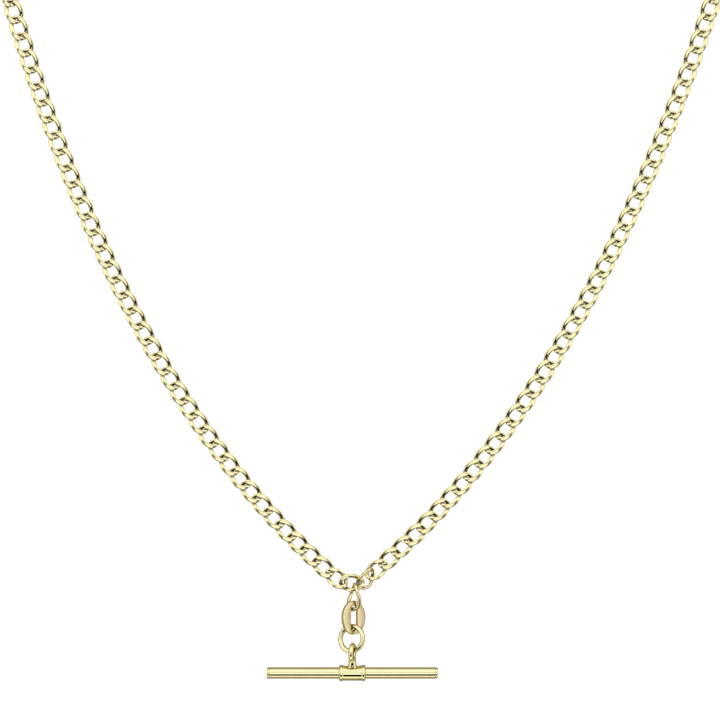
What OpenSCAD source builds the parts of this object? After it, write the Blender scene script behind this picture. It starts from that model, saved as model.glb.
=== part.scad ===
// Double Albert pocket watch chain, laid out flat in a V on a surface at z = 0.
// The chain lies in the XY plane with +Z up, and the T-bar hangs from the foot of the V towards -Y.
// The origin is at the middle of the chain's footprint.

/* [Curb link] */
// Thickness of the link's round wire
wire_d = 0.86; // [0.80:0.01:0.86]
// Distance from one link's centre to the next
pitch = 3.48; // [3.47:0.01:3.50]
// Half the link's width at the wire's middle
link_half_width = 1.39; // [1.38:0.01:1.42]
// How far the twist lifts the wire's middle off the link's plane
link_twist = 0.69; // [0.66:0.01:0.70]
// Play along the chain between two touching links
link_play = 0.08; // [0.06:0.01:0.10]
// Cross-sections round one link
link_rings = 18; // [16:2:20]
// Sides of a link's cross-section
wire_sides = 6; // [6:1:7]

/* [Arms] */
// Angle between the left arm's foot and the X axis, in degrees
left_foot_heading = 40.5; // [40.3:0.1:40.7]
// Angle that the left arm tends to
left_far_heading = 85.9; // [80:0.1:88]
// Angle between the right arm's foot and the X axis
right_foot_heading = 40.3; // [40.1:0.1:40.5]
// Angle that the right arm tends to
right_far_heading = 83.7; // [80:0.1:88]
// Length of arm over which its angle turns
turning_length = 103; // [98:1:108]

/* [T-bar] */
// Length of the rod
rod_length = 34.2; // [30:0.2:38]
// Thickness of the rod
rod_d = 2.3; // [2.0:0.1:2.4]
// Length of the collar round the rod
collar_length = 5.3; // [4.5:0.1:7]
// Thickness of the collar at its raised ends
collar_d = 3.2; // [3.1:0.05:3.2]

/* [Swivel hooks] */
// Radius of the hook's round ends at the wire's middle
hook_bend = 3.5; // [3.4:0.1:3.8]
// Distance between the middles of the hook's round ends
hook_reach = 5; // [4.5:0.5:7]
// Thickness of the hook's wire
hook_wire = 2.0; // [1.8:0.1:2.1]

/* [Hidden] */
$fn = 48;
GOLD = "#e6d48c";
DEEP_GOLD = "#d2ba6a";
STEEL = "#b9bbbd";
SIDES = ["left", "right"];
SECTIONS = 20;
LINKS_IN_SECTION = 2;
ARM_LINKS = SECTIONS * LINKS_IN_SECTION;

function two_digits(n) = str(n < 10 ? "0" : "", n);
function section_name(side, n) = str(SIDES[side], "_chain_", two_digits(n));
SECTION_NODES = [for (side = [0, 1], n = [1:SECTIONS]) section_name(side, n)];
CENTRE_NODES = ["centre_link", "right_foot_link", "drop_link", "oval_link", "jump_ring"];
BAR_NODES = ["t_bar_eye", "t_bar_collar", "t_bar_rod"];
END_PARTS = ["end_ring", "swivel_eye", "hook_body", "hook_gate", "gate_pin", "gate_spring"];
END_NODES = [for (side = SIDES, part = END_PARTS) str(side, "_", part)];

// Small gap between pieces that turn against each other
gap = 0.05;

// A link lies on its twisted wire, so its centre is this high
lie = link_twist + wire_d / 2;
link_half_length = (pitch + wire_d + link_play) / 2;

// The foot of the V, seen from the middle of the footprint
foot = [-1.9, -61];

// First link of each arm, seen from the foot
arm_start = [[-3.276, 0.634], [4.704, 2.312]];
arm_way = [-1, 1];
foot_heading = [left_foot_heading, right_foot_heading];
far_heading = [left_far_heading, right_far_heading];

// An arm's angle settles towards its far value with the length s along it
function heading(side, s) =
    far_heading[side] - (far_heading[side] - foot_heading[side]) * exp(-s / turning_length);
function turned(side, angle) = side == 0 ? 180 - angle : angle;

// Centre and direction of every link in an arm: [x, y, direction]
function arm(side) = [
    for (i = 0, x = arm_start[side].x, y = arm_start[side].y;
         i < ARM_LINKS;
         x = x + arm_way[side] * pitch * cos(heading(side, (i + 0.5) * pitch)),
         y = y + pitch * sin(heading(side, (i + 0.5) * pitch)),
         i = i + 1)
    [x, y, turned(side, heading(side, i * pitch))]
];
ARMS = [arm(0), arm(1)];

// The pieces round the foot: [centre, rotation], seen from the foot
centre_place = [[-0.23, -0.27, 1.08], [-6.4, -4.4, -2.3]];
right_foot_place = [[2.64, 0.62, 1.45], [33.3, -23.6, 64.6]];
drop_place = [[0.27, -3.09, 1.87], [-14.7, -51.7, 10.5]];
oval_place = [[0.13, -7.21, 2.21], [0.2, 40.9, 0.1]];
ring_place = [[-0.22, -11.43, 2.4], [-6.3, -27.4, 0]];

// Drop link: half length, half width and twist of its wire's middle
drop_size = [2.5, 1.45, 0.55];
drop_wire = 0.84;

// Oval link: length, width and thickness of the plate, and its slot
oval_length = 6.8;
oval_width = 5.9;
oval_thickness = 0.75;
slot_length = 4.8;
slot_width = 1.8;

// Jump ring, eye and end ring: radius at the wire's middle, wire
jump_r = 2.5;
jump_wire = 1.0;
eye_r = 1.5;
eye_wire = 1.0;
end_r = 1.9;
end_wire = 0.9;

// T-bar: the rod's axis, seen from the foot, and how far the eye stands off it
bar_at = [-0.1, -18.3, 1.6];
eye_stand = 4.35;
eye_lean = 18.6;
eye_turn = 78;
eye_foot_r = 0.87;
eye_foot_stand = 1.5;
eye_seat_depth = 0.3;
shank_d = 1.5;
chamfer = 0.2;
groove = 0.12;

// The rod is turned down by this much where the collar sits, and a little past its ends
neck_step = 0.2;
neck_reach = 0.15;

// Swivel: height of its axis, and places along it from the middle of its eye
swivel_z = 1.75;
swivel_eye_r = 1.5;
swivel_eye_wire = 1.1;
swivel_eye_turn = 46;
stem_d = 1.4;
stem_head_d = 2.1;
stem_head = [4.6, 5.2];
flange_d = 2.2;
flange = [1.9, 2.3];
boss_d = 3.5;
boss = [2.4, 6.2];
chamber_d = 2.3;
chamber = [4.5, 5.4];
hook_r = hook_wire / 2;
hook_low = boss[1] - 0.2 + hook_bend;
hook_high = hook_low + hook_reach;

// Gate: pin, barrel, bar and ears
pin_d = 0.8;
ear_slot = 0.56;
ear_slot_r = 1.1;
barrel_r = 0.95;
barrel = [-0.5, 0.12];
bar_r = 0.78;
gate_end_gap = 0.12;
coil = [0.15, 0.5];
coil_r = [0.5, 0.74];
coil_leg = 0.75;

// Distance from the last link to the end ring, and the step from there to the swivel's eye
to_ring = 3.12;
to_swivel = [0.22, 2.25];
ring_height = 1.5;
ring_tilt = 26;
ring_pitch = 12.4;

// Loop of round wire whose two sides are lifted in turn, which is the curb twist
function loop_point(size, hand, t) = [size.x * cos(t), size.y * sin(t), hand * size.z * sin(2 * t)];
function loop_way(size, hand, t) =
    [-size.x * sin(t), size.y * cos(t), 2 * hand * size.z * cos(2 * t)];
function unit(v) = v / norm(v);
function loop_ring(size, hand, t, r) =
    let (
        way = unit(loop_way(size, hand, t)),
        out = unit(cross(way, [0, 0, 1])),
        up = cross(way, out)
    )
    [for (j = [0:wire_sides - 1])
        let (u = 360 * (j + 0.5) / wire_sides)
        loop_point(size, hand, t) + r * (cos(u) * out + sin(u) * up)];

module wire_loop(size, hand, wire) {
    rings = link_rings;
    sides = wire_sides;
    points = [for (i = [0:rings - 1]) each loop_ring(size, hand, 360 * i / rings, wire / 2)];
    faces = [for (i = [0:rings - 1], j = [0:sides - 1])
        let (
            next_i = (i + 1) % rings,
            next_j = (j + 1) % sides
        )
        each [
            [i * sides + j, next_i * sides + j, next_i * sides + next_j],
            [i * sides + j, next_i * sides + next_j, i * sides + next_j]
        ]
    ];
    polyhedron(points = points, faces = faces, convexity = 4);
}

module curb_link(hand) {
    wire_loop([link_half_length, link_half_width, link_twist], hand, wire_d);
}

module torus(r, wire) {
    rotate_extrude() translate([r, 0]) circle(d = wire);
}

module at(place) {
    translate([foot.x, foot.y, 0])
        translate(place[0])
        rotate(place[1])
        children();
}

// Two neighbouring links of an arm; section n holds links 2n - 2 and 2n - 1
module chain_section(side, n) {
    color(GOLD)
        for (i = [0:LINKS_IN_SECTION - 1]) {
            link = ARMS[side][(n - 1) * LINKS_IN_SECTION + i];
            at([[link.x, link.y, lie], [0, 0, link.z]]) curb_link(arm_way[side]);
        }
}

module centre_link() {
    color(GOLD) at(centre_place) curb_link(-1);
}

// The slack link between the centre link and the right arm
module right_foot_link() {
    color(GOLD) at(right_foot_place) curb_link(1);
}

module drop_link() {
    color(GOLD) at(drop_place) rotate([0, 0, 90]) wire_loop(drop_size, -1, drop_wire);
}

module stadium(length, width) {
    reach = (length - width) / 2;
    for (end = [-1, 1]) translate([0, end * reach]) circle(d = width);
    square([width, 2 * reach], center = true);
}

// Plain ellipse, a little longer than wide
module oval_outline() {
    a = oval_width / 2;
    b = oval_length / 2;
    polygon([for (t = [0:7.5:352.5]) [a * cos(t), b * sin(t)]]);
}

module oval_link() {
    color(DEEP_GOLD)
        at(oval_place)
        difference() {
            translate([0, 0, -oval_thickness / 2]) linear_extrude(oval_thickness) oval_outline();
            translate([0, 0, -oval_thickness])
                linear_extrude(2 * oval_thickness)
                stadium(slot_length, slot_width);
        }
}

module jump_ring() {
    color(GOLD) at(ring_place) torus(jump_r, jump_wire);
}

// Round bar along +Y between two places
module along(range, d) {
    translate([0, range[0], 0]) rotate([-90, 0, 0]) cylinder(d = d, h = range[1] - range[0]);
}

// The T-bar's own frame: the rod along X, the eye towards +Y
module bar_frame() {
    at([bar_at, [eye_lean, 0, 0]]) children();
}

// Eye on a short shank, whose rounded foot stands in the collar's seat
module t_bar_eye() {
    seat = collar_d / 2 - eye_seat_depth;
    color(GOLD)
        bar_frame() {
            translate([0, eye_stand, 0]) rotate([0, eye_turn, 0]) torus(eye_r, eye_wire);
            along([eye_foot_stand, eye_stand - eye_r + 0.35], shank_d);
            rotate([-90, 0, 0])
                rotate_extrude()
                intersection() {
                    translate([0, eye_foot_stand]) circle(r = eye_foot_r);
                    translate([0, seat]) square([2 * eye_foot_r, 2 * eye_foot_r]);
                }
        }
}

// Collar with raised, rounded ends, bored for the rod and seated for the eye
module t_bar_collar() {
    half = collar_length / 2;
    lip = 0.35;
    raised = collar_d / 2;
    waist = raised - 0.08;
    color(GOLD)
        bar_frame()
        difference() {
            rotate([0, 90, 0])
                rotate_extrude() {
                    translate([0, -half + lip]) square([waist, 2 * (half - lip)]);
                    for (end = [-1, 1])
                        translate([0, end * (half - lip)]) {
                            translate([raised - lip, 0]) circle(r = lip);
                            translate([0, -lip]) square([raised - lip, 2 * lip]);
                        }
                }
            rotate([0, 90, 0])
                cylinder(d = rod_d - 2 * neck_step + 0.02, h = collar_length + 1, center = true);
            along([raised - eye_seat_depth, raised + 1], 2 * (eye_foot_r + gap));
        }
}

// Rod with chamfered ends, a fine groove beside each, and a neck for the collar
module t_bar_rod() {
    r = rod_d / 2;
    half = rod_length / 2;
    neck_half = collar_length / 2 + neck_reach;
    color(GOLD)
        bar_frame()
        rotate([0, 90, 0])
        rotate_extrude()
        polygon([
            [0, -half],
            [r - chamfer, -half],
            [r, -half + chamfer],
            [r, -half + 0.5],
            [r - groove, -half + 0.56],
            [r, -half + 0.62],
            [r, -neck_half],
            [r - neck_step, -neck_half],
            [r - neck_step, neck_half],
            [r, neck_half],
            [r, half - 0.62],
            [r - groove, half - 0.56],
            [r, half - 0.5],
            [r, half - chamfer],
            [r - chamfer, half],
            [0, half]
        ]);
}

// Where an arm's end ring and its swivel's eye lie, seen from the foot
function ring_point(side) =
    let (last = ARMS[side][ARM_LINKS - 1])
    [last.x + to_ring * cos(last.z), last.y + to_ring * sin(last.z)];
function swivel_point(side) =
    ring_point(side) + [arm_way[side] * to_swivel.x, to_swivel.y];

module end_ring(side) {
    spot = ring_point(side);
    way = ARMS[side][ARM_LINKS - 1].z;
    color(GOLD)
        at([[spot.x, spot.y, ring_height], [0, 0, way - 90]])
        rotate([ring_pitch, 0, 0])
        rotate([0, -arm_way[side] * ring_tilt, 0])
        torus(end_r, end_wire);
}

// The swivel's own frame: the eye at its origin, the hook towards +Y
module swivel_frame(side) {
    spot = swivel_point(side);
    at([[spot.x, spot.y, swivel_z], [0, 0, 0]]) children();
}

// Eye, flange and headed stem, on which the hook spins
module swivel_eye(side) {
    color(GOLD)
        swivel_frame(side) {
            rotate([0, arm_way[side] * swivel_eye_turn, 0]) torus(swivel_eye_r, swivel_eye_wire);
            along(flange, flange_d);
            along([swivel_eye_r, stem_head[1]], stem_d);
            along(stem_head, stem_head_d);
        }
}

module arc(middle_y, from, sweep) {
    translate([0, middle_y, 0])
        rotate([0, 0, from])
        rotate_extrude(angle = sweep)
        translate([hook_bend, 0])
        circle(r = hook_r);
}

// Boss with the stem's bore and chamber, the hook's wire, and two ears for the gate's pin
module hook_body(side) {
    color(GOLD)
        swivel_frame(side)
        difference() {
            union() {
                along(boss, boss_d);
                arc(hook_low, 180, 180);
                arc(hook_high, 0, 180);
                translate([hook_bend, 0, 0]) along([hook_low, hook_high], hook_wire);
                translate([-hook_bend, hook_low, 0]) cylinder(r = hook_r, h = hook_wire, center = true);
            }
            along([boss[0] - 1, chamber[0] + 0.1], stem_d + 2 * gap);
            along(chamber, chamber_d);
            translate([-hook_bend, hook_low, 0]) {
                cylinder(r = ear_slot_r, h = 2 * ear_slot, center = true);
                cylinder(d = pin_d, h = hook_wire + 1, center = true);
            }
        }
}

module gate_frame(side) {
    swivel_frame(side) translate([-hook_bend, hook_low, 0]) children();
}

// Barrel on the pin, neck between the ears, and the bar that closes the hook
module hook_gate(side) {
    bar_end = hook_reach - gate_end_gap;
    color(DEEP_GOLD)
        gate_frame(side)
        difference() {
            union() {
                translate([0, 0, barrel[0]]) cylinder(r = barrel_r, h = barrel[1] - barrel[0]);
                translate([-0.55, 0, barrel[0]]) cube([1.1, 1.6, barrel[1] - barrel[0]]);
                along([1.3, bar_end - bar_r], 2 * bar_r);
                translate([0, bar_end - bar_r, 0]) sphere(r = bar_r);
                translate([-bar_r, 3.1, 0]) sphere(r = 0.42);
            }
            cylinder(d = pin_d + gap, h = 4, center = true);
        }
}

module gate_pin(side) {
    color(STEEL) gate_frame(side) cylinder(d = pin_d, h = hook_wire + 0.1, center = true);
}

// Coil round the pin with a short leg, which pushes the gate shut
module gate_spring(side) {
    height = coil[1] - coil[0];
    color(STEEL)
        gate_frame(side)
        translate([0, 0, coil[0]])
        difference() {
            union() {
                cylinder(r = coil_r[1], h = height);
                rotate([0, 0, 170]) translate([coil_r[0], 0, 0]) cube([coil_r[1] - coil_r[0], coil_leg, height]);
            }
            cylinder(r = coil_r[0], h = 4, center = true);
        }
}

for (side = [0, 1], n = [1:SECTIONS])
    chain_section(side, n);
centre_link();
right_foot_link();
drop_link();
oval_link();
jump_ring();
t_bar_eye();
t_bar_collar();
t_bar_rod();
for (side = [0, 1]) {
    end_ring(side);
    swivel_eye(side);
    hook_body(side);
    hook_gate(side);
    gate_pin(side);
    gate_spring(side);
}
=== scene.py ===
"""Double Albert pocket watch chain in polished pale gold, laid in a V and seen from straight above."""
import math

import bmesh
import bpy
from mathutils import Euler, Matrix, Vector

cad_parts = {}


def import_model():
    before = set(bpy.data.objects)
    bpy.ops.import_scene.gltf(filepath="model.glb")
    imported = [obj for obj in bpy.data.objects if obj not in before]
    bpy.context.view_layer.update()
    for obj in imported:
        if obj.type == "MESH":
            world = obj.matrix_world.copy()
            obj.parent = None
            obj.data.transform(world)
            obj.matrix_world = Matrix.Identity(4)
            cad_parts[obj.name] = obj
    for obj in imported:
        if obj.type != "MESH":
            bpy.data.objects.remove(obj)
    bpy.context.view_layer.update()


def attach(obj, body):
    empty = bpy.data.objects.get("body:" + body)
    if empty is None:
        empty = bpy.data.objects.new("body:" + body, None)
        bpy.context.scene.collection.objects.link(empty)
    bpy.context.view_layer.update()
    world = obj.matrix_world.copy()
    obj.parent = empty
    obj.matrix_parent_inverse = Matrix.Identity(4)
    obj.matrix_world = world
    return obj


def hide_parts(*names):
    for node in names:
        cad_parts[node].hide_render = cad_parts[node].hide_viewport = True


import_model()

MM = 0.001
SIDES = ("left", "right")
ARM_WAY = (-1, 1)
SECTIONS = 20
LINKS_IN_SECTION = 2

# ---------------------------------------------------------------- driving sizes, in millimetres
WIRE = 0.86
PITCH = 3.48
LINK_HALF_WIDTH = 1.39
LINK_TWIST = 0.69
LINK_PLAY = 0.08
LINK_SIZE = ((PITCH + WIRE + LINK_PLAY) / 2, LINK_HALF_WIDTH, LINK_TWIST)
LIE = LINK_TWIST + WIRE / 2

FOOT = Vector((-1.9, -61.0, 0.0))
ARM_START = ((-3.276, 0.634), (4.704, 2.312))
FOOT_HEADING = (40.5, 40.3)
FAR_HEADING = (85.9, 83.7)
TURNING_LENGTH = 103.0

CENTRE_PLACE = ((-0.23, -0.27, 1.08), (-6.4, -4.4, -2.3))
RIGHT_FOOT_PLACE = ((2.64, 0.62, 1.45), (33.3, -23.6, 64.6))
DROP_PLACE = ((0.27, -3.09, 1.87), (-14.7, -51.7, 10.5))
OVAL_PLACE = ((0.13, -7.21, 2.21), (0.2, 40.9, 0.1))
RING_PLACE = ((-0.22, -11.43, 2.4), (-6.3, -27.4, 0.0))
DROP_SIZE = (2.5, 1.45, 0.55)
DROP_WIRE = 0.84

# How much slimmer than in the CAD these wires are drawn, so that nothing touches at the ends of travel.
LOOSE_SLACK = 0.06
DROP_SLACK = 0.04
RING_SLACK = 0.03

OVAL_HALF = (2.95, 3.4)
OVAL_THICKNESS = 0.75
OVAL_DOME, OVAL_EDGE = 0.03, 0.1
SLOT_HALF_WIDTH = 0.9
SLOT_REACH = 1.5

JUMP_R, JUMP_WIRE, JUMP_SEAM = 2.5, 1.0, 118
END_R, END_WIRE, END_SEAM = 1.9, 0.9, 200

# GROOVE is measured from the rod's end, EYE_STAND and EYE_FOOT_STAND from the rod's middle line.
# The scoop for the eye's foot has its depth, its reach along the rod and its lean round it, in radians.
BAR_PLACE = ((-0.1, -18.3, 1.6), (18.6, 0.0, 0.0))
EYE_R, EYE_WIRE = 1.5, 1.0
EYE_STAND, EYE_TURN = 4.35, 78.0
EYE_FOOT_R, EYE_FOOT_STAND, EYE_SINK = 0.87, 1.5, 0.3
SHANK_R = 0.75
SHANK_TAPER, SHANK_IN_RING = 0.93, 0.35
ROD_R, ROD_HALF, ROD_END_ROUND = 1.15, 17.1, 0.22
GROOVE = (0.42, 0.50, 0.58)
GROOVE_DEPTH = 0.07
COLLAR_R, COLLAR_HALF = 1.6, 2.65
COLLAR_LIP, COLLAR_WAIST = 0.03, 0.06
COLLAR_WAIST_HALF = 0.9
SEAT_DEPTH, SEAT_REACH, SEAT_LEAN = 0.26, 1.15, 0.62
SEAT_RIM, SEAT_RIM_AT, SEAT_RIM_WIDTH, SEAT_RIM_LEAN = 0.05, 1.45, 0.35, 0.5
NECK_R, NECK_HALF = 0.95, 2.67

TO_RING = 3.12
TO_SWIVEL = (0.22, 2.25)
RING_HEIGHT, RING_TILT, RING_PITCH = 1.5, 26.0, 12.4
SWIVEL_Z = 1.75
SWIVEL_EYE_R, SWIVEL_EYE_WIRE, SWIVEL_EYE_TURN = 1.5, 1.1, 46.0
HOOK_BEND, HOOK_REACH, HOOK_R = 3.5, 5.0, 1.0
HOOK_LOW = 9.5
HOOK_HIGH = HOOK_LOW + HOOK_REACH

# VIEW_MIDDLE is in millimetres from the foot of the V, the rest in metres.
VIEW_MIDDLE = (1.44, 44.3)
VIEW_WIDTH = 0.144
VIEW_DISTANCE = 1.5
CHAIN_MIDDLE_HEIGHT = 0.0016


def camera():
    """Long lens straight above the chain."""
    data = bpy.data.cameras.new("camera")
    data.sensor_width = 36.0
    data.lens = data.sensor_width * VIEW_DISTANCE / VIEW_WIDTH
    data.clip_start = 0.05
    data.clip_end = 20
    cam = bpy.data.objects.new("camera", data)
    x, y = (FOOT.x + VIEW_MIDDLE[0]) * MM, (FOOT.y + VIEW_MIDDLE[1]) * MM
    cam.location = (x, y, VIEW_DISTANCE + CHAIN_MIDDLE_HEIGHT)
    bpy.context.collection.objects.link(cam)
    bpy.context.scene.camera = cam


camera()


# ---------------------------------------------------------------- node helpers
def feed(tree, socket, value):
    """Sets a socket to a number or colour, or links another socket to it."""
    if isinstance(value, bpy.types.NodeSocket):
        tree.links.new(value, socket)
    else:
        socket.default_value = value


def maths(tree, operation, *values):
    node = tree.nodes.new("ShaderNodeMath")
    node.operation = operation
    for i, value in enumerate(values):
        feed(tree, node.inputs[i], value)
    return node.outputs["Value"]


def mapped(tree, value, from_low, from_high, to_low=0.0, to_high=1.0, smooth=False):
    node = tree.nodes.new("ShaderNodeMapRange")
    node.interpolation_type = "SMOOTHSTEP" if smooth else "LINEAR"
    feed(tree, node.inputs["Value"], value)
    feed(tree, node.inputs["From Min"], from_low)
    feed(tree, node.inputs["From Max"], from_high)
    feed(tree, node.inputs["To Min"], to_low)
    feed(tree, node.inputs["To Max"], to_high)
    return node.outputs["Result"]


def mixed(tree, factor, a, b):
    node = tree.nodes.new("ShaderNodeMix")
    node.data_type = "RGBA"
    feed(tree, node.inputs["Factor"], factor)
    feed(tree, node.inputs["A"], (*a, 1.0) if isinstance(a, tuple) else a)
    feed(tree, node.inputs["B"], (*b, 1.0) if isinstance(b, tuple) else b)
    return node.outputs["Result"]


def noise(tree, vector, scale, detail=3.0, rough=0.55):
    node = tree.nodes.new("ShaderNodeTexNoise")
    feed(tree, node.inputs["Vector"], vector)
    node.inputs["Scale"].default_value = scale
    node.inputs["Detail"].default_value = detail
    node.inputs["Roughness"].default_value = rough
    return node.outputs["Fac"]


def stretched(tree, vector, scale):
    node = tree.nodes.new("ShaderNodeMapping")
    feed(tree, node.inputs["Vector"], vector)
    node.inputs["Scale"].default_value = scale
    return node.outputs["Vector"]


# ---------------------------------------------------------------- materials
# Lengths in metres, noise scales per metre.
TONE_SCALE, FILM_SCALE, SCRATCH_SCALE, HAZE_SCALE, DENT_SCALE = 300.0, 1700.0, 2600.0, 5200.0, 900.0
TONE_DIP = 0.965
FILM_SHARE = 0.25
SCRATCH_STRETCH = (1.0, 14.0, 1.0)
DENT_SHARE = 5.0
BUMP_HEIGHT = 0.000012
BLUSH_SPAN = (-0.0038, 0.0008)
# Painted shade in sheltered spots: how far the occlusion looks, in metres, and the dark warm colour painted
# there.
PAINTED_SHADE_REACH = 0.0012
PAINTED_SHADE_GOLD = (0.20, 0.145, 0.05)


def metal(name, pale, deep, rough, scratch, dull=0.0, painted_shade=0.0, blush=None):
    """Polished metal with slow changes of tone, patches of tarnish film, haze, dents and scratches.

    recess darkens what other metal shelters with a warmer colour, as painted shade, and blush is a warmer
    tone towards the piece's own +X side.
    """
    mat = bpy.data.materials.new(name)
    mat.use_nodes = True
    tree = mat.node_tree
    shader = tree.nodes["Principled BSDF"]
    shader.inputs["Metallic"].default_value = 1.0
    place = tree.nodes.new("ShaderNodeTexCoord").outputs["Object"]
    tone = mapped(tree, noise(tree, place, TONE_SCALE, 2.0), 0.35, 0.7)
    film = mapped(tree, noise(tree, place, FILM_SCALE, 4.0), 0.56, 0.74, smooth=True)
    colour = mixed(tree, tone, pale, tuple(TONE_DIP * c for c in pale))
    colour = mixed(tree, maths(tree, "MULTIPLY", film, FILM_SHARE + dull), colour, deep)
    if blush:
        along = tree.nodes.new("ShaderNodeSeparateXYZ")
        feed(tree, along.inputs["Vector"], place)
        warmth = mapped(tree, along.outputs["X"], *BLUSH_SPAN, smooth=True)
        colour = mixed(tree, warmth, colour, blush)
    # Painted shade: darker, warmer gold wherever ambient occlusion finds other metal close by.
    if painted_shade:
        shelter = tree.nodes.new("ShaderNodeAmbientOcclusion")
        shelter.samples = 8
        shelter.inputs["Distance"].default_value = PAINTED_SHADE_REACH
        shade_mask = mapped(tree, shelter.outputs["AO"], 0.42, 1.0, painted_shade, 0.0)
        colour = mixed(tree, shade_mask, colour, PAINTED_SHADE_GOLD)
    feed(tree, shader.inputs["Base Color"], colour)
    scratches = noise(tree, stretched(tree, place, SCRATCH_STRETCH), SCRATCH_SCALE, 3.0, 0.7)
    haze = noise(tree, place, HAZE_SCALE, 2.0)
    scratched = mapped(tree, scratches, 0.45, 0.75, 0.0, 0.6)
    filmed = mapped(tree, film, 0.0, 1.0, 0.0, 0.5)
    spread = maths(tree, "ADD", scratched, filmed)
    roughness = mapped(tree, spread, 0.0, 1.1, rough * 0.75, rough * 1.7)
    feed(tree, shader.inputs["Roughness"], roughness)
    dents = maths(tree, "MULTIPLY", noise(tree, place, DENT_SCALE, 1.5), DENT_SHARE)
    height = maths(tree, "ADD", dents, maths(tree, "ADD", scratches, haze))
    bump = tree.nodes.new("ShaderNodeBump")
    bump.inputs["Strength"].default_value = scratch
    bump.inputs["Distance"].default_value = BUMP_HEIGHT
    feed(tree, bump.inputs["Height"], height)
    feed(tree, shader.inputs["Normal"], bump.outputs["Normal"])
    return mat


PALE_GOLD = (0.93, 0.855, 0.49)
DEEP_GOLD = (0.83, 0.62, 0.22)
PLATE_GOLD = (0.90, 0.79, 0.46)
DEEP_PLATE_GOLD = (0.80, 0.58, 0.32)
BLUSH_GOLD = (0.91, 0.735, 0.48)
BRIGHT_STEEL = (0.74, 0.74, 0.73)
DULL_STEEL = (0.42, 0.40, 0.38)

# The chain's gold gets painted shade where links shelter each other.
PALE = metal("polished_gold", PALE_GOLD, DEEP_GOLD, 0.075, 0.10, painted_shade=1.0)
FITTING = metal("polished_gold_fittings", PALE_GOLD, DEEP_GOLD, 0.06, 0.06)
STAMPED = metal("stamped_gold", PLATE_GOLD, DEEP_PLATE_GOLD, 0.22, 0.35, dull=0.2, blush=BLUSH_GOLD)
STEEL = metal("bright_steel", BRIGHT_STEEL, DULL_STEEL, 0.16, 0.15)


# ---------------------------------------------------------------- mesh helpers
# A part is (verts, faces), in millimetres.
FILLET_GUARD = 0.15
POLE_R = 0.004
SEAM = (-0.024, -0.006, 0.0, 0.006, 0.024)
SEAM_CLEAR = 0.03
SEAM_PINCH = 0.93


def skin(rings, closed):
    """Quads between neighbouring rings of points, and a cap on each end when not closed."""
    count, sides = len(rings), len(rings[0])
    verts = [v for ring in rings for v in ring]
    faces = []
    for i in range(count if closed else count - 1):
        a, b = i * sides, (i + 1) % count * sides
        for j in range(sides):
            k = (j + 1) % sides
            faces.append((a + j, b + j, b + k, a + k))
    if not closed:
        faces.append(tuple(range(sides)))
        faces.append(tuple((count - 1) * sides + j for j in reversed(range(sides))))
    return verts, faces


def joined(*parts):
    verts, faces = [], []
    for part_verts, part_faces in parts:
        start = len(verts)
        verts += part_verts
        faces += [tuple(start + k for k in face) for face in part_faces]
    return verts, faces


def moved(part, matrix):
    verts, faces = part
    return [matrix @ v for v in verts], faces


def turn(axis, degrees):
    return Matrix.Rotation(math.radians(degrees), 4, axis)


def shift(x, y, z):
    return Matrix.Translation((x, y, z))


def at(place):
    """Matrix of a place given as (centre seen from the foot, turns about X, Y and Z)."""
    centre, turns = place
    spin = Euler([math.radians(a) for a in turns], "XYZ").to_matrix().to_4x4()
    return Matrix.Translation(Vector(centre) + FOOT) @ spin


def sweep(points, radii, up, sides=28):
    """Round wire along points, with a radius for each; up is about square to the path."""
    rings = []
    for i, point in enumerate(points):
        before, after = points[max(i - 1, 0)], points[min(i + 1, len(points) - 1)]
        way = (after - before).normalized()
        out = way.cross(up).normalized()
        top = out.cross(way)
        ring = []
        for j in range(sides):
            u = 2 * math.pi * j / sides
            ring.append(point + radii[i] * (math.cos(u) * out + math.sin(u) * top))
        rings.append(ring)
    return skin(rings, False)


def filleted(corners, steps=5):
    """Corners (along, radius, fillet) to a smooth profile with extra points beside each fillet."""
    out = []
    for i, (x, y, r) in enumerate(corners):
        here = Vector((x, y))
        if r == 0:
            out.append(here)
            continue
        before = Vector(corners[i - 1][:2]) - here
        after = Vector(corners[i + 1][:2]) - here
        before.normalize()
        after.normalize()
        half = before.angle(after) / 2
        reach = r / math.tan(half)
        middle = here + (before + after).normalized() * r / math.sin(half)
        first, last = here + before * reach - middle, here + after * reach - middle
        swing = first.angle_signed(last)
        out.append(here + before * (reach + r * FILLET_GUARD))
        for k in range(steps + 1):
            spun = first.copy()
            spun.rotate(Matrix.Rotation(-swing * k / steps, 2))
            out.append(middle + spun)
        out.append(here + after * (reach + r * FILLET_GUARD))
    return out


def lathe(profile, sides=64):
    """Turned part about the X axis from (along, radius) points; ends on the axis close to a tiny disc."""
    rings = []
    for point in profile:
        x, r = point[0], max(point[1], POLE_R)
        ring = []
        for j in range(sides):
            u = 2 * math.pi * j / sides
            ring.append(Vector((x, r * math.cos(u), -r * math.sin(u))))
        rings.append(ring)
    return skin(rings, False)


def wire_ring(r, wire, seam, steps=96, sides=32):
    """Ring of round wire about Z; seam is the angle of its closing seam in degrees, or None."""
    angles = [2 * math.pi * i / steps for i in range(steps)]
    start = math.radians(seam or 0)
    if seam is not None:
        angles = [a for a in angles if SEAM_CLEAR < a < 2 * math.pi - SEAM_CLEAR]
        angles = list(SEAM) + angles
    rings = []
    for a in angles:
        pinched = seam is not None and a == 0.0
        half = (SEAM_PINCH if pinched else 1.0) * wire / 2
        t = start + a
        out = Vector((math.cos(t), math.sin(t), 0))
        ring = []
        for j in range(sides):
            u = 2 * math.pi * j / sides
            ring.append(out * (r + half * math.cos(u)) + Vector((0, 0, half * math.sin(u))))
        rings.append(ring)
    return skin(rings, True)


def face_outwards(mesh):
    """Turns every face of a closed mesh outwards."""
    work = bmesh.new()
    work.from_mesh(mesh)
    bmesh.ops.recalc_face_normals(work, faces=work.faces)
    work.to_mesh(mesh)
    work.free()


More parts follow.
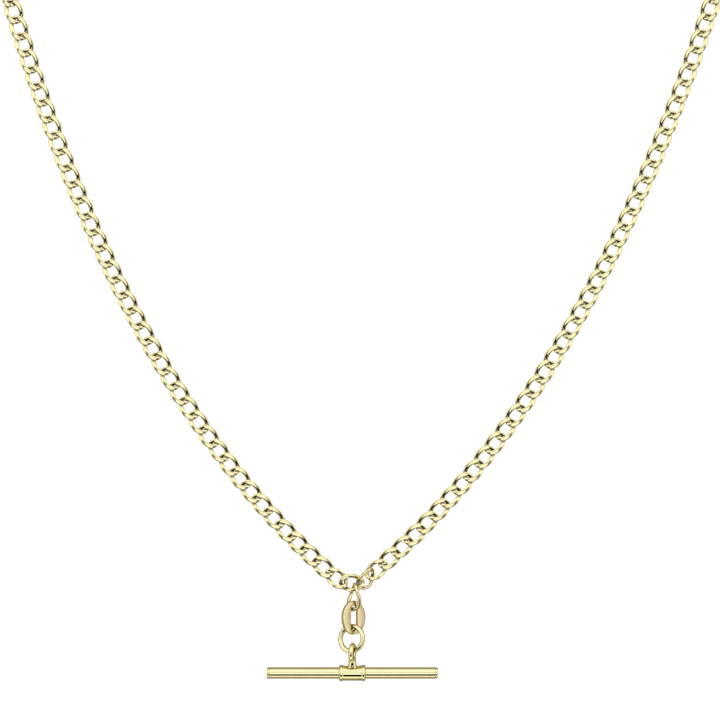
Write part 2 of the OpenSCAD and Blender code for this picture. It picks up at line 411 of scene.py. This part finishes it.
def new_piece(name, part, mat, body, nodes, weighted=False, sharp=None):
    """Makes the object from a part and hangs it on its body in place of the CAD nodes.

    weighted evens the shading of rounded edges, sharp keeps edges above that angle in degrees crisp.
    """
    verts, faces = part
    mesh = bpy.data.meshes.new(name)
    mesh.from_pydata([tuple(v * MM) for v in verts], [], faces)
    mesh.update()
    face_outwards(mesh)
    for poly in mesh.polygons:
        poly.use_smooth = True
    if sharp:
        mesh.set_sharp_from_angle(angle=math.radians(sharp))
    mesh.materials.append(mat)
    obj = bpy.data.objects.new(name, mesh)
    bpy.context.collection.objects.link(obj)
    if weighted:
        modifier = obj.modifiers.new("weighted", "WEIGHTED_NORMAL")
        modifier.keep_sharp = False
        modifier.weight = 80
    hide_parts(*nodes)
    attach(obj, body)
    return obj


def working_object(part):
    """An object that merged() needs only for a moment, in millimetres."""
    verts, faces = part
    mesh = bpy.data.meshes.new("working")
    mesh.from_pydata([tuple(v) for v in verts], [], faces)
    mesh.update()
    face_outwards(mesh)
    obj = bpy.data.objects.new("working", mesh)
    bpy.context.collection.objects.link(obj)
    return obj


def merged(part, voxel, smoothing, cut=None):
    """Solids that run into each other become one skin with softened joints, less the cut."""
    whole = working_object(part)
    working = [whole]
    remesh = whole.modifiers.new("remesh", "REMESH")
    remesh.mode = "VOXEL"
    remesh.voxel_size = voxel
    smooth = whole.modifiers.new("smooth", "SMOOTH")
    smooth.factor = 0.5
    smooth.iterations = smoothing
    if cut:
        working.append(working_object(cut))
        boolean = whole.modifiers.new("cut", "BOOLEAN")
        boolean.operation = "DIFFERENCE"
        boolean.solver = "EXACT"
        boolean.use_self = True
        boolean.object = working[1]
    done = whole.evaluated_get(bpy.context.evaluated_depsgraph_get()).to_mesh()
    out_verts = [v.co.copy() for v in done.vertices]
    out_faces = [tuple(p.vertices) for p in done.polygons]
    for obj in working:
        mesh = obj.data
        bpy.data.objects.remove(obj)
        bpy.data.meshes.remove(mesh)
    return out_verts, out_faces


# ---------------------------------------------------------------- curb links
# The links that lie flat along the arms have less twist and flatter wire than the CAD's;
# those next to a tilted piece keep the CAD's twist, so that they clear it.
LINK_STEPS, LINK_SIDES = 80, 28
DROP_STEPS, DROP_SIDES = 120, 32
FLAT_TWIST = 0.38
FLAT_RISE = 0.675
LOOSE_RISE = 0.86
SIDE_SPREAD = 0.05

# Steps of pressed(), each (height it starts at, width it eases in over, share of the slope it takes).
PRESS = ((0.12, 0.045, 0.48), (0.50, 0.05, 0.24))
LOOSE_PRESS = ((0.14, 0.05, 0.46), (0.74, 0.07, 0.29))
DROP_PRESS = ((0.45, 0.08, 0.35),)


def pressed(z, press):
    """Height after pressing; it never folds over, so flat-lying links that clear each other still do."""
    height = abs(z)
    low = height
    for knee, ease, share in press:
        low -= share * ease * math.log1p(math.exp((height - knee) / ease))
    return math.copysign(low, z)


def curb_loop(size, hand, wire, rise, press, spread, steps=LINK_STEPS, sides=LINK_SIDES):
    """Closed loop of wire with the curb twist, pressed so that its crests are broad and flat.

    rise is the wire's height to its width, and spread widens the wire along the link's sides.
    """
    half = wire / 2
    long, wide, twist = size[0], size[1], hand * size[2]
    rings = []
    for i in range(steps):
        t = 2 * math.pi * i / steps
        point = Vector((long * math.cos(t), wide * math.sin(t), twist * math.sin(2 * t)))
        way = Vector((-long * math.sin(t), wide * math.cos(t), 2 * twist * math.cos(2 * t)))
        way.normalize()
        out = way.cross(Vector((0, 0, 1))).normalized()
        up = way.cross(out)
        across = half + spread * math.sin(t) ** 2
        ring = []
        for j in range(sides):
            u = 2 * math.pi * j / sides
            v = point + across * math.cos(u) * out + half * rise * math.sin(u) * up
            v.z = pressed(v.z, press)
            ring.append(v)
        rings.append(ring)
    return skin(rings, True)


FLAT_SIZE = (LINK_SIZE[0], LINK_SIZE[1], FLAT_TWIST)
LOOSE_WIRE = WIRE - LOOSE_SLACK
LINK, LOOSE_LINK = {}, {}
for hand in (-1, 1):
    LINK[hand] = curb_loop(FLAT_SIZE, hand, WIRE, FLAT_RISE, PRESS, SIDE_SPREAD)
    LOOSE_LINK[hand] = curb_loop(LINK_SIZE, hand, LOOSE_WIRE, LOOSE_RISE, LOOSE_PRESS, 0.0)
DROP = curb_loop(
    DROP_SIZE, -1, DROP_WIRE - DROP_SLACK, LOOSE_RISE, DROP_PRESS, 0.0, DROP_STEPS, DROP_SIDES
)


# ---------------------------------------------------------------- the chain
def heading(side, s):
    """Slope of an arm in degrees at the distance s along it from its first link, as for a right arm."""
    far, foot = FAR_HEADING[side], FOOT_HEADING[side]
    return far - (far - foot) * math.exp(-s / TURNING_LENGTH)


def arm(side):
    """Centre and direction of every link: (x, y, direction in degrees)."""
    x, y = ARM_START[side]
    links = []
    for i in range(SECTIONS * LINKS_IN_SECTION):
        angle = heading(side, i * PITCH)
        links.append((x, y, 180 - angle if side == 0 else angle))
        step = math.radians(heading(side, (i + 0.5) * PITCH))
        x += ARM_WAY[side] * PITCH * math.cos(step)
        y += PITCH * math.sin(step)
    return links


ARMS = (arm(0), arm(1))

for side, side_name in enumerate(SIDES):
    for n in range(SECTIONS):
        parts = []
        for k in range(n * LINKS_IN_SECTION, (n + 1) * LINKS_IN_SECTION):
            x, y, way = ARMS[side][k]
            shape = LOOSE_LINK if k in (0, len(ARMS[side]) - 1) else LINK
            parts.append(moved(shape[ARM_WAY[side]], at(((x, y, LIE), (0, 0, way)))))
        name = f"{side_name}_chain_{n + 1:02d}"
        new_piece(f"{name}_links", joined(*parts), PALE, name, [name])

for name, part, place in (
    ("centre_link", LOOSE_LINK[-1], at(CENTRE_PLACE)),
    ("right_foot_link", LOOSE_LINK[1], at(RIGHT_FOOT_PLACE)),
    ("drop_link", DROP, at(DROP_PLACE) @ turn("Z", 90)),
):
    new_piece(f"{name}_wire", moved(part, place), PALE, name, [name])


# ---------------------------------------------------------------- oval link and jump ring
def slot_radius(c, s):
    """Distance from the middle to the slot's wall in the direction (c, s)."""
    if abs(c) > 1e-6 and abs(s / c) * SLOT_HALF_WIDTH <= SLOT_REACH:
        return SLOT_HALF_WIDTH / abs(c)
    across = SLOT_REACH * abs(s)
    return across + math.sqrt(max(SLOT_HALF_WIDTH**2 - SLOT_REACH**2 + across**2, 0))


def oval_plate(steps=144, arc_steps=4):
    """Plate with an elliptical outline, a slot with round ends, rounded edges and slightly domed faces."""
    edge, dome = OVAL_EDGE, OVAL_DOME
    h = OVAL_THICKNESS / 2 - dome
    rings = []
    for i in range(steps):
        t = 2 * math.pi * i / steps
        x, y = OVAL_HALF[0] * math.cos(t), OVAL_HALF[1] * math.sin(t)
        far = math.hypot(x, y)
        c, s = x / far, y / far
        near = slot_radius(c, s)
        width = far - near
        profile = []
        for corner_x, corner_z, begin in (
            (edge, h - edge, 180),
            (width - edge, h - edge, 90),
            (width - edge, edge - h, 0),
            (edge, edge - h, -90),
        ):
            for k in range(arc_steps + 1):
                a = math.radians(begin - 90 * k / arc_steps)
                profile.append((corner_x + edge * math.cos(a), corner_z + edge * math.sin(a)))
            if begin in (180, 0):
                sign = 1 if begin == 180 else -1
                first, last = (edge, width - edge) if sign > 0 else (width - edge, edge)
                for f in (0.06, 0.2, 0.4, 0.6, 0.8, 0.94):
                    z = h + dome * math.sin(math.pi * f)
                    profile.append((first + (last - first) * f, sign * z))
            else:
                wall = width if begin == 90 else 0
                sign = 1 if begin == 90 else -1
                for f in (0.1, 0.9):
                    profile.append((wall, sign * (h - edge) * (1 - 2 * f)))
        rings.append([Vector(((near + a) * c, (near + a) * s, z)) for a, z in profile])
    return skin(rings, True)


OVAL = moved(oval_plate(), at(OVAL_PLACE))
JUMP_RING = moved(wire_ring(JUMP_R, JUMP_WIRE - RING_SLACK, JUMP_SEAM), at(RING_PLACE))
new_piece("oval_link_plate", OVAL, STAMPED, "oval_link", ["oval_link"], True)
new_piece("jump_ring_wire", JUMP_RING, PALE, "jump_ring", ["jump_ring"])


# ---------------------------------------------------------------- T-bar
def bar_piece(name, part, node, weighted=True):
    new_piece(name, moved(part, at(BAR_PLACE)), FITTING, "t_bar", [node], weighted)


def rod():
    """Round bar with rounded ends, a fine groove near each end and a neck inside the collar."""
    half = [
        (ROD_HALF, 0.0, 0),
        (ROD_HALF, ROD_R - 0.02, ROD_END_ROUND),
        (ROD_HALF - GROOVE[0], ROD_R, 0.03),
        (ROD_HALF - GROOVE[1], ROD_R - GROOVE_DEPTH, 0.02),
        (ROD_HALF - GROOVE[2], ROD_R, 0.03),
        (NECK_HALF + 0.03, ROD_R, 0.02),
        (NECK_HALF, NECK_R, 0),
    ]
    right = filleted(half)
    left = [Vector((-p.x, p.y)) for p in reversed(right)]
    return lathe(right + left, 72)


def collar(sides=128):
    """Sleeve with rounded lips, scooped where the eye's foot stands, with a low rim beside the scoop."""
    lip, waist = COLLAR_R + COLLAR_LIP, COLLAR_R - COLLAR_WAIST
    half = [
        (-COLLAR_HALF, NECK_R + 0.02, 0),
        (-COLLAR_HALF, lip, 0.3),
        (-COLLAR_HALF + 0.62, lip, 0.2),
        (-COLLAR_HALF + 0.80, waist, 0.14),
        (-COLLAR_WAIST_HALF, waist, 0),
    ]
    left = filleted(half)
    middle = [Vector((COLLAR_WAIST_HALF * k / 8, waist)) for k in range(-7, 8)]
    right = [Vector((-p.x, p.y)) for p in reversed(left)]
    rings = []
    for p in left + middle + right:
        outside = p.y > COLLAR_R - 0.3
        ring = []
        for j in range(sides):
            a = 2 * math.pi * j / sides
            lean = math.atan2(math.sin(a), math.cos(a))
            seat = math.exp(-((p.x / SEAT_REACH) ** 4) - (lean / SEAT_LEAN) ** 4)
            beside = (abs(p.x) - SEAT_RIM_AT) / SEAT_RIM_WIDTH
            rim = math.exp(-(beside**2) - (lean / SEAT_RIM_LEAN) ** 4)
            r = p.y + (SEAT_RIM * rim - SEAT_DEPTH * seat if outside else 0)
            ring.append(Vector((p.x, r * math.cos(a), r * math.sin(a))))
        rings.append(ring)
    return skin(rings, True)


def eye():
    """Ring on a short shank with a rounded foot, as one casting."""
    ring = moved(wire_ring(EYE_R, EYE_WIRE, None), shift(0, EYE_STAND, 0) @ turn("Y", EYE_TURN))
    seat = COLLAR_R - EYE_SINK
    foot = [(seat, 0), (seat, math.sqrt(EYE_FOOT_R**2 - (EYE_FOOT_STAND - seat) ** 2))]
    for k in range(1, 12):
        a = math.asin((seat - EYE_FOOT_STAND) / EYE_FOOT_R) + k * 0.13
        foot.append((EYE_FOOT_STAND + EYE_FOOT_R * math.sin(a), EYE_FOOT_R * math.cos(a)))
    foot = [p for p in foot if p[1] > SHANK_R or p[0] < EYE_FOOT_STAND]
    top = EYE_STAND - EYE_R + SHANK_IN_RING
    foot += [(top - 0.3, SHANK_R), (top - 0.1, SHANK_R * SHANK_TAPER), (top, 0.1)]
    shank = moved(lathe(foot, 48), turn("Z", 90))
    return merged(joined(ring, shank), 0.05, 6)


bar_piece("t_bar_rod_turned", rod(), "t_bar_rod")
bar_piece("t_bar_collar_sleeve", collar(), "t_bar_collar")
bar_piece("t_bar_eye_casting", eye(), "t_bar_eye", False)

# ---------------------------------------------------------------- end rings, swivels and hooks
# FLANGE, STEM_HEAD and CHAMBER are (from, to, radius) along the swivel's axis, from the eye's middle.
FLANGE = (1.9, 2.3, 1.1)
STEM_R, STEM_HEAD = 0.66, (4.65, 5.15, 1.0)
SWIVEL_NECK_IN_RING, SWIVEL_NECK_R = 0.1, (0.8, 0.85)
BOSS, BOSS_R = (2.4, 6.2), 1.75
BOSS_BEAD, BOSS_WAIST = 0.42, 0.2
BORE_R = 0.79
CHAMBER = (4.45, 5.45, 1.18)

HOOK_ENDS, HOOK_SWELL, HOOK_SWELL_PACE = 0.93, 0.07, 1.15
EAR_ROUND = 0.14
EAR_SLOT, EAR_SLOT_R = 0.57, 1.12
PIN_R, PIN_HALF, PIN_ROUND = 0.4, 1.05, 0.11
PIN_CLEAR_IN_EARS, PIN_CLEAR_IN_GATE = 0.02, 0.025
HOLE_REACH = 2

BARREL, BARREL_R, BARREL_EDGE = (-0.47, 0.1), 0.92, 0.06
GATE_NECK_START, GATE_NECK_LENGTH, GATE_NECK_HALF_WIDTH = 0.2, 1.5, 0.5
BAR_R, BAR_START, BAR_END = 0.77, 1.25, 4.87
NUB_AT, NUB_R = 3.1, 0.42
COIL_LOW, COIL_HIGH, COIL_R, COIL_WIRE = 0.205, 0.445, 0.62, 0.115
COIL_TURNS, COIL_END, COIL_LEG = 2, 170.0, 0.7

ALONG_Y = turn("Z", 90)
ALONG_Z = turn("Y", -90)


def lathed(profile, matrix, sides=48):
    return moved(lathe([Vector(point) for point in profile], sides), matrix)


def ball(centre, r, sides=32, steps=16):
    turns = [math.pi * k / steps for k in range(steps + 1)]
    points = [(-r * math.cos(t), r * math.sin(t)) for t in turns]
    return lathed(points, Matrix.Translation(Vector(centre)), sides)


def ring_point(side):
    """Middle of an arm's end ring, as (x, y)."""
    x, y, way = ARMS[side][-1]
    return x + TO_RING * math.cos(math.radians(way)), y + TO_RING * math.sin(math.radians(way))


def swivel_frame(side):
    """Frame of a swivel eye and its hook: the eye's middle, with Y along the hook."""
    x, y = ring_point(side)
    return at(((x + ARM_WAY[side] * TO_SWIVEL[0], y + TO_SWIVEL[1], SWIVEL_Z), (0, 0, 0)))


def swivel_eye(side):
    """Eye, flange and headed stem as one casting."""
    facing = turn("Y", ARM_WAY[side] * SWIVEL_EYE_TURN)
    ring = moved(wire_ring(SWIVEL_EYE_R, SWIVEL_EYE_WIRE, None), facing)
    neck = SWIVEL_EYE_R - SWIVEL_NECK_IN_RING
    corners = [
        (neck, 0.0, 0),
        (neck, SWIVEL_NECK_R[0], 0),
        (FLANGE[0], SWIVEL_NECK_R[1], 0.05),
        (FLANGE[0], FLANGE[2], 0.1),
        (FLANGE[1], FLANGE[2], 0.1),
        (FLANGE[1], STEM_R, 0.04),
        (STEM_HEAD[0], STEM_R, 0.04),
        (STEM_HEAD[0], STEM_HEAD[2], 0.1),
        (STEM_HEAD[1], STEM_HEAD[2], 0.1),
        (STEM_HEAD[1], 0.0, 0),
    ]
    return merged(joined(ring, lathed(filleted(corners), ALONG_Y)), 0.06, 4)


def boss():
    """Turned boss with a waist and a bead at its mouth, bored for the stem and its head."""
    low, high = BOSS
    chamber_low, chamber_high, chamber_r = CHAMBER
    inside = [(chamber_high, 0.0), (chamber_high, chamber_r)]
    inside += [(chamber_low, chamber_r), (chamber_low, BORE_R)]
    outside = [
        (low, BORE_R, 0),
        (low, BOSS_R - 0.08, 0.12),
        (low + BOSS_BEAD, BOSS_R - 0.02, 0.1),
        (low + 0.56, BOSS_R - BOSS_WAIST, 0.06),
        (low + 0.72, BOSS_R - BOSS_WAIST, 0.06),
        (low + 0.9, BOSS_R - 0.01, 0.1),
        (high - 0.9, BOSS_R - 0.03, 0.6),
        (high, BOSS_R - 0.6, 0.2),
        (high, 0.3, 0),
    ]
    return lathed([*inside, *filleted(outside), (high, 0.0)], ALONG_Y)


def hook_wire():
    """Hook from the ears round both bends to its nose, slimmer towards the ears and the nose."""
    points = []
    bend_steps, side_steps = 48, 10
    for k in range(bend_steps + 1):
        t = math.pi * (1 + k / bend_steps)
        points.append(Vector((HOOK_BEND * math.cos(t), HOOK_LOW + HOOK_BEND * math.sin(t), 0)))
    for k in range(1, side_steps):
        points.append(Vector((HOOK_BEND, HOOK_LOW + HOOK_REACH * k / side_steps, 0)))
    for k in range(bend_steps + 1):
        t = math.pi * k / bend_steps
        points.append(Vector((HOOK_BEND * math.cos(t), HOOK_HIGH + HOOK_BEND * math.sin(t), 0)))
    count = len(points) - 1
    radii = []
    for i in range(count + 1):
        swell = math.sin(math.pi * min(1.0, HOOK_SWELL_PACE * i / count))
        radii.append(HOOK_R * (HOOK_ENDS + HOOK_SWELL * swell))
    return sweep(points, radii, Vector((0, 0, 1)))


def drum(half_length, r, matrix, sides):
    """Plain cylinder across the hook, for cutting."""
    return lathed([(-half_length, 0), (-half_length, r), (half_length, r), (half_length, 0)], matrix, sides)


def hook_body():
    """Boss, hook and ears as one casting, with the gate's slot and the pin's hole cut out."""
    axis = shift(-HOOK_BEND, HOOK_LOW, 0) @ ALONG_Z
    ears = [(-HOOK_R, 0.0, 0), (-HOOK_R, HOOK_R, EAR_ROUND), (HOOK_R, HOOK_R, EAR_ROUND), (HOOK_R, 0.0, 0)]
    slot = drum(EAR_SLOT, EAR_SLOT_R, axis, 64)
    hole = drum(HOLE_REACH, PIN_R + PIN_CLEAR_IN_EARS, axis, 40)
    whole = joined(boss(), hook_wire(), lathed(filleted(ears), axis))
    return merged(whole, 0.07, 5, joined(slot, hole))


def hook_gate():
    """Barrel, neck between the ears, round bar with a domed tip, and a small thumb nub."""
    low, high = BARREL
    rim = BARREL_R - BARREL_EDGE
    barrel = [(low, 0), (low, rim), (low + BARREL_EDGE, BARREL_R)]
    barrel += [(high - BARREL_EDGE, BARREL_R), (high, rim), (high, 0)]

    steps, sides = 8, 32
    neck = []
    for k in range(steps + 1):
        y = GATE_NECK_START + GATE_NECK_LENGTH * k / steps
        ring = []
        for j in range(sides):
            u = 2 * math.pi * j / sides
            c, d = math.cos(u), math.sin(u)
            x = GATE_NECK_HALF_WIDTH * math.copysign(abs(c) ** 0.5, c)
            z = (low + high) / 2 + (high - low) / 2 * math.copysign(abs(d) ** 0.5, d)
            ring.append(Vector((x, y, z)))
        neck.append(ring)

    bar = [(BAR_START, 0.0), (BAR_START, BAR_R - 0.2)]
    bar += [(BAR_START + 0.06, BAR_R - 0.06), (BAR_START + 0.2, BAR_R)]
    for k in range(11):
        t = math.pi / 2 * k / 10
        bar.append((BAR_END - BAR_R + BAR_R * math.sin(t), BAR_R * math.cos(t)))

    nub = ball((-BAR_R, NUB_AT, 0), NUB_R)
    hole = drum(HOLE_REACH, PIN_R + PIN_CLEAR_IN_GATE, ALONG_Z, 40)
    whole = joined(lathed(barrel, ALONG_Z), skin(neck, False), lathed(bar, ALONG_Y), nub)
    return merged(whole, 0.05, 3, hole)


def gate_pin():
    """Rivet with rounded heads."""
    low_end = [(-PIN_HALF, 0.0, 0), (-PIN_HALF, PIN_R, PIN_ROUND)]
    high_end = [(PIN_HALF, PIN_R, PIN_ROUND), (PIN_HALF, 0.0, 0)]
    return lathed(filleted(low_end + high_end), ALONG_Z)


def gate_spring():
    """Two turns of thin wire round the pin, and a straight leg."""
    points = []
    steps = 48 * COIL_TURNS
    end = math.radians(COIL_END)
    for k in range(steps + 1):
        a = end - 2 * math.pi * COIL_TURNS * (1 - k / steps)
        z = COIL_LOW + (COIL_HIGH - COIL_LOW) * k / steps
        points.append(Vector((COIL_R * math.cos(a), COIL_R * math.sin(a), z)))
    for k in range(1, 7):
        points.append(points[steps] + COIL_LEG * k / 6 * Vector((-math.sin(end), math.cos(end), 0)))
    return sweep(points, [COIL_WIRE / 2] * len(points), Vector((0, 0, 1)), 14)


HOOK_BODY = hook_body()
HOOK_GATE = hook_gate()
for side, side_name in enumerate(SIDES):
    x, y = ring_point(side)
    end_ring = at(((x, y, RING_HEIGHT), (0, 0, ARMS[side][-1][2] - 90))) @ turn("X", RING_PITCH)
    end_ring = end_ring @ turn("Y", -ARM_WAY[side] * RING_TILT)
    swivel = swivel_frame(side)
    gate = swivel @ shift(-HOOK_BEND, HOOK_LOW, 0)
    wire = moved(wire_ring(END_R, END_WIRE, END_SEAM), end_ring)
    stem = moved(swivel_eye(side), swivel)
    for node, piece, part, mat, body, slot, sharp in (
        ("end_ring", "wire", wire, FITTING, "end_ring", "gold_chain", None),
        ("swivel_eye", "casting", stem, FITTING, "swivel_eye", "gold_fittings", None),
        ("hook_body", "casting", moved(HOOK_BODY, swivel), FITTING, "hook", "gold_fittings", 50),
        ("hook_gate", "casting", moved(HOOK_GATE, gate), FITTING, "gate", "gold_fittings", 50),
        ("gate_pin", "rivet", moved(gate_pin(), gate), STEEL, "hook", "spring_steel", None),
        ("gate_spring", "coil", moved(gate_spring(), gate), STEEL, "hook", "spring_steel", None),
    ):
        name = f"{side_name}_{node}"
        new_piece(f"{name}_{piece}", part, mat, f"{side_name}_{body}", [name], False, sharp)


# ---------------------------------------------------------------- light and floor
# Angles in degrees; RIM_WIDTH and RIM_DARKNESS are (on the north side, on the south side).
RIM_LEAN = 5.0
RIM_INNER = 18.0
RIM_SOFTNESS = 2.0
RIM_TURN = (-28, 22)
RIM_WIDTH = (6.0, 32.0)
RIM_DARKNESS = (0.6, 0.99)
TENT_FOOT = (68, 98)
TENT_WHITE = (1.0, 1.0, 1.0)
TENT_LOW = (0.28, 0.25, 0.16)
TENT_STRENGTH = 1.15


def world():
    """White tent with a dark rim round its top opening, wider and darker to the south."""
    w = bpy.data.worlds.new("studio")
    bpy.context.scene.world = w
    w.use_nodes = True
    tree = w.node_tree
    split = tree.nodes.new("ShaderNodeSeparateXYZ")
    feed(tree, split.inputs["Vector"], tree.nodes.new("ShaderNodeTexCoord").outputs["Generated"])
    y, z = split.outputs["Y"], split.outputs["Z"]

    def times(a, b):
        return maths(tree, "MULTIPLY", a, b)

    def degrees(operation, *values):
        return maths(tree, "DEGREES", maths(tree, operation, *values))

    # 1 to the south of straight up, 0 to the north
    southness = mapped(tree, degrees("ARCTAN2", times(y, -1), z), *RIM_TURN, smooth=True)

    # angle from the middle of the white disc, which leans to the south
    lean = math.radians(RIM_LEAN)
    off = degrees("ARCCOSINE", maths(tree, "SUBTRACT", times(z, math.cos(lean)), times(y, math.sin(lean))))

    edge = (RIM_INNER - RIM_SOFTNESS, RIM_INNER + RIM_SOFTNESS)
    inner = mapped(tree, off, *edge, smooth=True)
    past_width = maths(tree, "SUBTRACT", off, mapped(tree, southness, 0.0, 1.0, *RIM_WIDTH))
    outer = mapped(tree, past_width, *edge, 1.0, 0.0, smooth=True)
    rim = times(times(inner, outer), mapped(tree, southness, 0.0, 1.0, *RIM_DARKNESS))

    low = mapped(tree, degrees("ARCCOSINE", z), *TENT_FOOT, smooth=True)
    colour = mixed(tree, low, TENT_WHITE, TENT_LOW)
    colour = mixed(tree, rim, colour, (0.0, 0.0, 0.0))
    background = tree.nodes["Background"]
    feed(tree, background.inputs["Color"], colour)
    background.inputs["Strength"].default_value = TENT_STRENGTH


world()


FLOOR_HALF = 3.0
FLOOR_Z = -0.008


def floor():
    """White sheet a little below the chain, left out of the metal's reflections."""
    corners = [(FLOOR_HALF * x, FLOOR_HALF * y, FLOOR_Z) for x, y in ((-1, -1), (1, -1), (1, 1), (-1, 1))]
    mesh = bpy.data.meshes.new("floor")
    mesh.from_pydata(corners, [], [(0, 1, 2, 3)])
    mat = bpy.data.materials.new("white_floor")
    mat.use_nodes = True
    shader = mat.node_tree.nodes["Principled BSDF"]
    shader.inputs["Base Color"].default_value = (1, 1, 1, 1)
    shader.inputs["Roughness"].default_value = 1.0
    shader.inputs["Emission Color"].default_value = (1, 1, 1, 1)
    shader.inputs["Emission Strength"].default_value = 0.35
    mesh.materials.append(mat)
    obj = bpy.data.objects.new("floor", mesh)
    bpy.context.collection.objects.link(obj)
    obj.visible_glossy = False


floor()

bpy.context.scene.view_settings.view_transform = "Standard"
